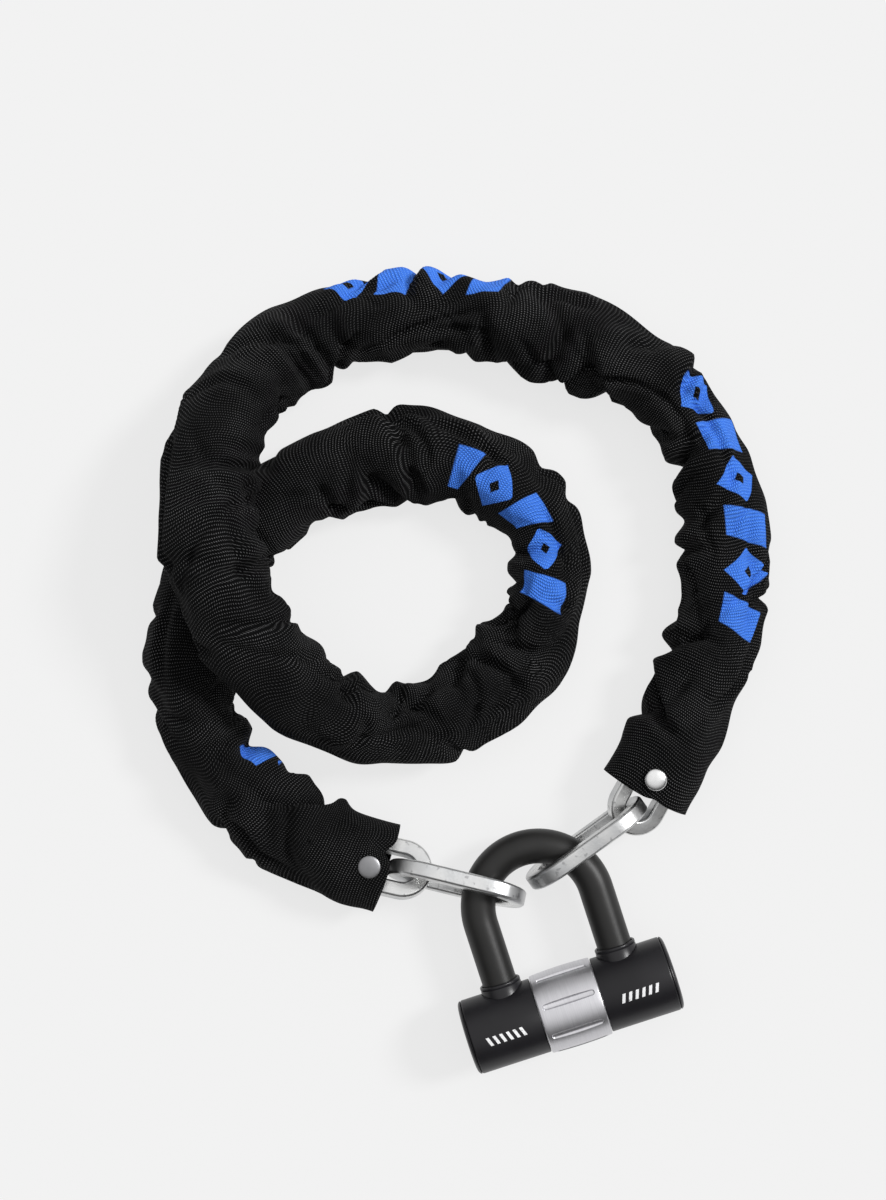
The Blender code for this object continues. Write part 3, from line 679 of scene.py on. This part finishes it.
def notched_mouths(S, T, length):
    """How far the rims lie back at the two mouths, and how deep the cloth dips there."""
    start, end = np.exp(-(S / 0.013) ** 2), np.exp(-((length - S) / 0.013) ** 2)
    uneven = 0.0009 * waves(0 * S, T, 23, 1.0, 4, 9)
    back, dips = [], []
    for angle, depth, reach, dip_reach in (RIGHT_NOTCH, LEFT_NOTCH):
        gap = turn_gap(T, angle)
        back.append(uneven + depth * np.exp(-(gap / reach) ** 2))
        dips.append(np.exp(-(gap / dip_reach) ** 2))
    return start * back[0] - end * back[1], 0.0034 * (start * dips[0] + end * dips[1])


def make_sleeve(line):
    s, turn, centre, heading, flat, radial, relief = sleeve_surface(line)
    S, T = np.meshgrid(s, turn, indexing="ij")
    reach = np.linalg.norm(flat - centre[:, None], axis=2)
    back, dip = notched_mouths(S, T, line.length)
    flat = flat + back[..., None] * heading[:, None]
    relief = relief - dip
    # Between the links that stand up, the top of the cloth hangs down towards the others
    tree = link_tree()
    hang = draped(s, turn, centre, radial, tree) + 0.0016
    pull = 0.80 * np.clip(np.sin(T), 0.0, 1.0) ** 0.7
    pull *= smooth((np.minimum(S, line.length - S) - 0.020) / 0.030)
    inward = pull * np.minimum(hang - reach, 0.0)
    points = flat + (relief + inward)[..., None] * radial
    pushed = wrap_links(points, radial, tree, rounds=9, step=0.0008, room=0.0013)
    points = points + blurred(pushed, 3)[..., None] * radial
    pushed = wrap_links(points, radial, tree, rounds=5, step=0.0004, room=0.0008)
    points = points + pushed[..., None] * radial
    # Keep the cloth within its reach of the middle line and above the ground
    out = points - centre[:, None]
    far = np.linalg.norm(out, axis=2, keepdims=True)
    points = centre[:, None] + out * np.minimum(1.0, CLOTH_REACH / far) ** 0.9
    lowest = GROUND + 0.0006 * (1 + np.cos(6 * T + 40 * S))
    points[..., 2] = np.maximum(points[..., 2], lowest)

    sleeve = grid_mesh("woven_sleeve", points)
    # The weave's own coordinates: along the strap, bent a little at the folds, and round it
    girth = np.linalg.norm(np.roll(points, -1, axis=1) - points, axis=2)
    around = np.cumsum(girth, axis=1)
    warp = 0.0040 * waves(S, T, 17, 0.200, 3, 12) - 0.30 * blurred(relief, 6)
    store(sleeve.data, "cloth", np.stack([S + warp, around, 0 * S], axis=-1))
    store(sleeve.data, "mark", np.stack(print_marks(S, T, 0.0215), axis=-1))
    sleeve.data.materials.append(woven_nylon())
    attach(sleeve, "sleeved_chain")
    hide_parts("sleeve")
    return sleeve, centre


def make_rivet(side, dome, metal):
    """A rivet with a thin rim and a domed head; its shank goes down through the links."""
    node = f"{side}_rivet"
    middle = middle_of(node)
    profile = [(0.004, 0.0019), (RIVET_PLANE - 0.0012, 0.0019), (RIVET_PLANE - 0.0009, 0.0057),
               (RIVET_PLANE - 0.0004, RIVET_RADIUS)]
    profile += rounded(RIVET_PLANE, 0.0, dome, RIVET_RADIUS, (8 + 9.8 * i for i in range(9)))
    return add_piece(f"{side}_rivet_head", turned(profile, 48), metal,
                     at((middle.x, middle.y, 0.0), ALONG_Z), "sleeved_chain",
                     node)


# ---- Links ----
def chamfered_section(half, chamfer, soft=0.00028):
    """An eight-sided bar whose eight edges are each split in two to look worn."""
    edge = half - chamfer
    corners = [(half, -edge), (half, edge), (edge, half), (-edge, half),
               (-half, edge), (-half, -edge), (-edge, -half), (edge, -half)]
    points = []
    for k, corner in enumerate(corners):
        here = Vector(corner)
        for other in (corners[k - 1], corners[(k + 1) % 8]):
            way = (Vector(other) - here).normalized()
            points.append(tuple(here + way * soft))
    return points


def link_shape(inner_width, inner_length):
    """A square bar with chamfered edges, bent into a link that lies flat along X."""
    middle = inner_width / 2 + BAR / 2
    straight = (inner_length - inner_width) / 2
    section = chamfered_section(BAR / 2, 0.0011)
    bend_steps, side_steps = 22, 6
    rings = []
    for end in (1, -1):
        stations = []
        for i in range(bend_steps + 1):
            turn = math.pi * ((0 if end == 1 else 1) - 0.5 + i / bend_steps)
            out = Vector((math.cos(turn), math.sin(turn), 0.0))
            stations.append((Vector((straight * end, 0.0, 0.0)) + out * middle, out))
        # A few rings along the straight side keep its faces even
        for i in range(1, side_steps):
            out = Vector((0.0, end, 0.0))
            x = straight * end * (1 - 2 * i / side_steps)
            stations.append((Vector((x, 0.0, 0.0)) + out * middle, out))
        for centre, out in stations:
            rings.append([centre + out * a + Vector((0.0, 0.0, b)) for a, b in section])
    return swept(rings, closed=True)


def make_links(steel):
    # (node, inner width and length, turn about Z, then roll about its own length)
    layout = [
        ("left_cross_link", CROSS_INNER, -31.0, -22.0),
        ("right_cross_link", CROSS_INNER, -137.0, -18.0),
        ("left_end_link", END_INNER, -31.6, 74.0),
        ("right_end_link", END_INNER, -162.4, 87.0),
    ]
    for node, inner, yaw, roll in layout:
        turn = (Matrix.Rotation(math.radians(yaw), 4, "Z")
                @ Matrix.Rotation(math.radians(roll), 4, "X"))
        link = add_piece(f"{node}_forged", link_shape(*inner), steel, at(middle_of(node), turn),
                         node, node)
        flats = link.modifiers.new("flats", "WEIGHTED_NORMAL")
        flats.weight = 100


# ---- Shackle and crossbar ----
def shackle_stations(end_y):
    """(place, turn) along the U from one leg's end to the other's."""
    leg_steps, arch_steps = 8, 56
    legs = [end_y + (ARCH_Y - end_y) * i / leg_steps for i in range(leg_steps)]
    stations = [(Vector((-LEG_X, y, 0.0)), 0.0) for y in legs]
    for i in range(arch_steps + 1):
        turn = math.pi * i / arch_steps
        place = Vector((-LEG_X * math.cos(turn), ARCH_Y + LEG_X * math.sin(turn), 0.0))
        stations.append((place, turn))
    return stations + [(Vector((LEG_X, y, 0.0)), math.pi) for y in reversed(legs)]


def bar_ring(station, radius, sides, lift=0.0):
    """A ring round the U's bar at a station, moved up the leg by lift."""
    place, turn = station
    out = Vector((-math.cos(turn), math.sin(turn), 0.0))
    return [place + out * radius * math.cos(a) + Vector((0.0, lift, radius * math.sin(a)))
            for a in (2 * math.pi * i / sides for i in range(sides))]


def make_rod(steel):
    """The bent bar, with chamfered feet and a round notch in each for the bolts."""
    stations = shackle_stations(FOOT_Y)
    foot = [(LEG_RADIUS - 0.0009, 0.0), (LEG_RADIUS - 0.0001, 0.0008), (LEG_RADIUS, 0.0011)]
    rings = [bar_ring(stations[0], radius, 48, lift) for radius, lift in foot]
    rings += [bar_ring(station, LEG_RADIUS, 48) for station in stations[1:-1]]
    rings += [bar_ring(stations[-1], radius, 48, lift) for radius, lift in reversed(foot)]
    notches = []
    for sign in (-1.0, 1.0):
        ends = [(sign * NOTCH_START, NOTCH_RADIUS), (sign * NOTCH_END, NOTCH_RADIUS)]
        notches.append(("notch", turned(ends, 32), at(LOCK)))
    add_piece("shackle_bar", swept(rings), steel, at(LOCK), "shackle",
              "shackle", notches)


def make_coating(vinyl):
    """A tube over the bar: its outer wall one way and its inner wall back again."""
    stations = shackle_stations(COAT_END_Y)
    rings = [bar_ring(station, COAT_RADIUS, 40) for station in stations]
    rings += [bar_ring(station, COAT_INNER_RADIUS, 40) for station in reversed(stations)]
    add_piece("shackle_vinyl", swept(rings, closed=True), vinyl, at(LOCK), "shackle",
              "shackle_coating")


def make_cover(side, sign, marked):
    soft = 0.0005
    profile = [
        (COVER_START, COVER_RADIUS - soft),
        (COVER_START + soft * 0.3, COVER_RADIUS - soft * 0.3),
        (COVER_START + soft, COVER_RADIUS), (COVER_END - 0.0009, COVER_RADIUS),
        (COVER_END - 0.0003, COVER_RADIUS - 0.00015), (COVER_END, COVER_RADIUS - soft),
        (COVER_END, COVER_INNER_RADIUS), (COVER_START, COVER_INNER_RADIUS),
    ]
    shape = turned([(sign * x, radius) for x, radius in profile], 96, closed=True)
    hole = turned([(0.008, COLLAR_RADIUS + 0.0003), (0.03, COLLAR_RADIUS + 0.0003)], 64)
    leg = LOCK + Vector((sign * LEG_X, 0.0, 0.0))
    add_piece(f"{side}_cover_tube", shape, marked, at(LOCK), "crossbar",
              f"{side}_cover", [("hole", hole, at(leg, ALONG_Y))])


def make_cap(side, sign, paint):
    spigot = COVER_INNER_RADIUS - 0.0006
    start = COVER_END + 0.0003
    profile = [(0.0543, spigot), (start, spigot), (start, COVER_RADIUS - 0.0004)]
    profile += rounded(start + 0.0001, COVER_RADIUS - 0.0042, CAP_FACE - start - 0.0001, 0.0040,
                       range(0, 91, 9))
    profile += [(CAP_FACE, 0.0158), (CAP_FACE - 0.0003, 0.0155), (CAP_FACE - 0.0003, 0.0060)]
    shape = turned([(sign * x, radius) for x, radius in profile], 96)
    add_piece(f"{side}_cap_turned", shape, paint, at(LOCK), "crossbar",
              f"{side}_end_cap")


def make_collar(side, sign, paint):
    """A ring round the leg with a lip at its top, saddled over the crossbar's body."""
    top, lip = COLLAR_TOP_Y, 0.0007
    profile = [(0.008, COLLAR_RADIUS), (top - 0.0024, COLLAR_RADIUS),
               (top - 0.0020, COLLAR_RADIUS - 0.0003), (top - 0.0016, COLLAR_RADIUS),
               (top - lip, COLLAR_RADIUS)]
    profile += rounded(top - lip, COLLAR_RADIUS - lip, lip, lip, (22.5, 45.0, 67.5, 90.0))
    profile += [(top - 0.0003, COLLAR_INNER_RADIUS + 0.0002),
                (top - 0.0006, COLLAR_INNER_RADIUS), (0.008, COLLAR_INNER_RADIUS)]
    saddle = turned([(-0.054, BODY_RADIUS + 0.0003), (0.054, BODY_RADIUS + 0.0003)], 96)
    add_piece(f"{side}_collar_ring", turned(profile, 64, closed=True), paint,
              at(LOCK + Vector((sign * LEG_X, 0.0, 0.0)), ALONG_Y), "crossbar",
              f"{side}_leg_collar", [("saddle", saddle, at(LOCK))])


def groove_cutter(length, steps):
    """A slot with round ends, wider at its mouth: steps are (height, half width) pairs."""
    rings = []
    for height, radius in steps:
        ring = []
        for end in (1, -1):
            for i in range(13):
                turn = math.radians(-90.0 + 15.0 * i) + (0.0 if end == 1 else math.pi)
                ring.append(Vector((end * (length / 2 - 0.0014) + radius * math.cos(turn),
                                    radius * math.sin(turn), height)))
        rings.append(ring)
    return swept(rings)


def make_band(silver):
    """The crowned band, with six grooves along it and the window for the key."""
    soft, steps = 0.0006, 16
    corner = [(-BAND_HALF, COVER_INNER_RADIUS), (-BAND_HALF, BAND_RIM_RADIUS - soft)]
    corner += rounded(-BAND_HALF + soft, BAND_RIM_RADIUS - soft, -soft, soft, (60, 30, 0))
    profile = list(corner)
    for i in range(1, steps):
        x = (BAND_HALF - soft) * (2 * i / steps - 1)
        crown = 1 - (x / BAND_HALF) ** 2
        profile.append((x, BAND_RIM_RADIUS + (BAND_RADIUS - BAND_RIM_RADIUS) * crown))
    profile += [(-x, radius) for x, radius in reversed(corner)]
    cuts = []
    for angle in (-109.0, -64.0, -19.0, 26.0, 71.0, 116.0):
        groove = groove_cutter(0.0284, [(0.0207, 0.0007), (0.0208, 0.0011), (0.0213, 0.0015),
                                        (0.0224, 0.0026)])
        cuts.append(("groove", groove, at(LOCK, Matrix.Rotation(math.radians(angle), 4, "X"))))
    window = turned([(-0.03, BAND_WINDOW_RADIUS), (-0.01, BAND_WINDOW_RADIUS)], 48)
    cuts.append(("window", window, at(LOCK, ALONG_Z)))
    add_piece("centre_band_turned", turned(profile, 120, closed=True), silver, at(LOCK),
              "centre_band", "centre_band", cuts, 30.0)


# ---- Stage ----
def make_stage():
    # Large enough for its edge to stay under the horizon's pale band in low views
    bpy.ops.mesh.primitive_plane_add(size=120.0, location=(0.0, 0.0, -0.0006))
    floor = bpy.context.object
    floor.name = "floor"
    n = Nodes("pale_floor")
    n.finish(Base_Color=(0.12, 0.12, 0.12), Roughness=1.0, Specular_IOR_Level=0.0,
             Emission_Color=(1.0, 1.0, 1.0), Emission_Strength=0.745)
    floor.data.materials.append(n.material)


def make_light():
    """A soft glow overhead, darker towards the horizon, and one broad sun for the folds."""
    world = bpy.data.worlds.new("studio")
    bpy.context.scene.world = world
    world.use_nodes = True
    nodes, links = world.node_tree.nodes, world.node_tree.links
    way = nodes.new("ShaderNodeTexCoord")
    dot = nodes.new("ShaderNodeVectorMath")
    dot.operation = "DOT_PRODUCT"
    dot.inputs[1].default_value = Vector((0.05, 0.34, 0.94)).normalized()
    glow = nodes.new("ShaderNodeMapRange")
    glow.interpolation_type = "SMOOTHSTEP"
    for index, value in ((1, 0.25), (2, 0.98), (3, 0.06), (4, 1.05)):
        glow.inputs[index].default_value = value
    links.new(way.outputs["Generated"], dot.inputs[0])
    links.new(dot.outputs["Value"], glow.inputs[0])
    # A thin pale band at the horizon, where the floor's far edge would be seen
    split = nodes.new("ShaderNodeSeparateXYZ")
    band = nodes.new("ShaderNodeMapRange")
    band.interpolation_type = "SMOOTHSTEP"
    for index, value in ((1, 0.16), (2, 0.06), (3, 0.0), (4, 0.80)):
        band.inputs[index].default_value = value
    add = nodes.new("ShaderNodeMath")
    links.new(way.outputs["Generated"], split.inputs[0])
    links.new(split.outputs["Z"], band.inputs[0])
    links.new(glow.outputs[0], add.inputs[0])
    links.new(band.outputs[0], add.inputs[1])
    links.new(add.outputs[0], nodes["Background"].inputs["Strength"])
    nodes["Background"].inputs["Color"].default_value = (1.0, 1.0, 1.0, 1.0)
    data = bpy.data.lights.new("sun", "SUN")
    data.energy = 2.6
    data.angle = math.radians(14.0)
    lamp = bpy.data.objects.new("sun", data)
    lamp.rotation_euler = Vector((-0.64, -0.06, -0.60)).to_track_quat("-Z", "Y").to_euler()
    bpy.context.collection.objects.link(lamp)


def make_camera():
    data = bpy.data.cameras.new("camera")
    data.sensor_fit = "VERTICAL"
    data.sensor_height = 24.0
    data.lens = 12.0 / math.tan(math.radians(16.0))
    data.clip_start, data.clip_end = 0.05, 30.0
    camera = bpy.data.objects.new("camera", data)
    camera.location = (LOCK.x + 0.0021, LOCK.y + 0.2289, 1.150)
    camera.rotation_euler = (0.0, 0.0, math.radians(-18.0))
    bpy.context.collection.objects.link(camera)
    bpy.context.scene.camera = camera


def dress_frame():
    """Give the CAD nodes that stay in view, or inside, their materials."""
    inner_steel = forged_steel("chain_steel", 0.50, 0.36)
    hard = plain_metal("ground_steel", (0.42, 0.42, 0.43), 0.34)
    brass = plain_metal("turned_brass", (0.66, 0.48, 0.20), 0.30)
    nickel = plain_metal("nickel", (0.72, 0.72, 0.72), 0.26)
    finishes = {
        "shackle": hard, "crossbar_body": hard, "locking_cam": hard,
        "cylinder_retaining_pin": hard, "left_bolt": hard, "right_bolt": hard,
        "cylinder_housing": brass, "key_plug": brass,
        "left_rivet_back": nickel, "right_rivet_back": nickel,
    }
    for name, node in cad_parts.items():
        finish = inner_steel if name.startswith("chain_link") else finishes.get(name)
        if finish is not None:
            node.data.materials.clear()
            node.data.materials.append(finish)


# ---- The scene ----
make_camera()
sleeve, sleeve_path = make_sleeve(Line())
silver_rivet = plain_metal("rivet_silver", (0.86, 0.86, 0.86), 0.22)
grey_rivet = plain_metal("rivet_grey", (0.30, 0.30, 0.31), 0.42)
rivets = [make_rivet("right", 0.0019, silver_rivet), make_rivet("left", 0.001045, grey_rivet)]
make_links(forged_steel("link_steel"))
make_rod(plain_metal("shackle_steel", (0.56, 0.56, 0.57), 0.26))
make_coating(satin_black("shackle_coat", VINYL_BLACKS, 0.42, 420.0, 0.00006))
black_paint = satin_black("crossbar_paint", PAINT_BLACKS, 0.34, 700.0, 0.00003)
marked_black = marked_paint()
for side_name, side_sign in (("left", -1.0), ("right", 1.0)):
    make_cover(side_name, side_sign, marked_black)
    make_cap(side_name, side_sign, black_paint)
    make_collar(side_name, side_sign, black_paint)
make_band(brushed_silver())
dress_frame()
make_stage()
make_light()
bpy.context.scene.view_settings.view_transform = "Standard"
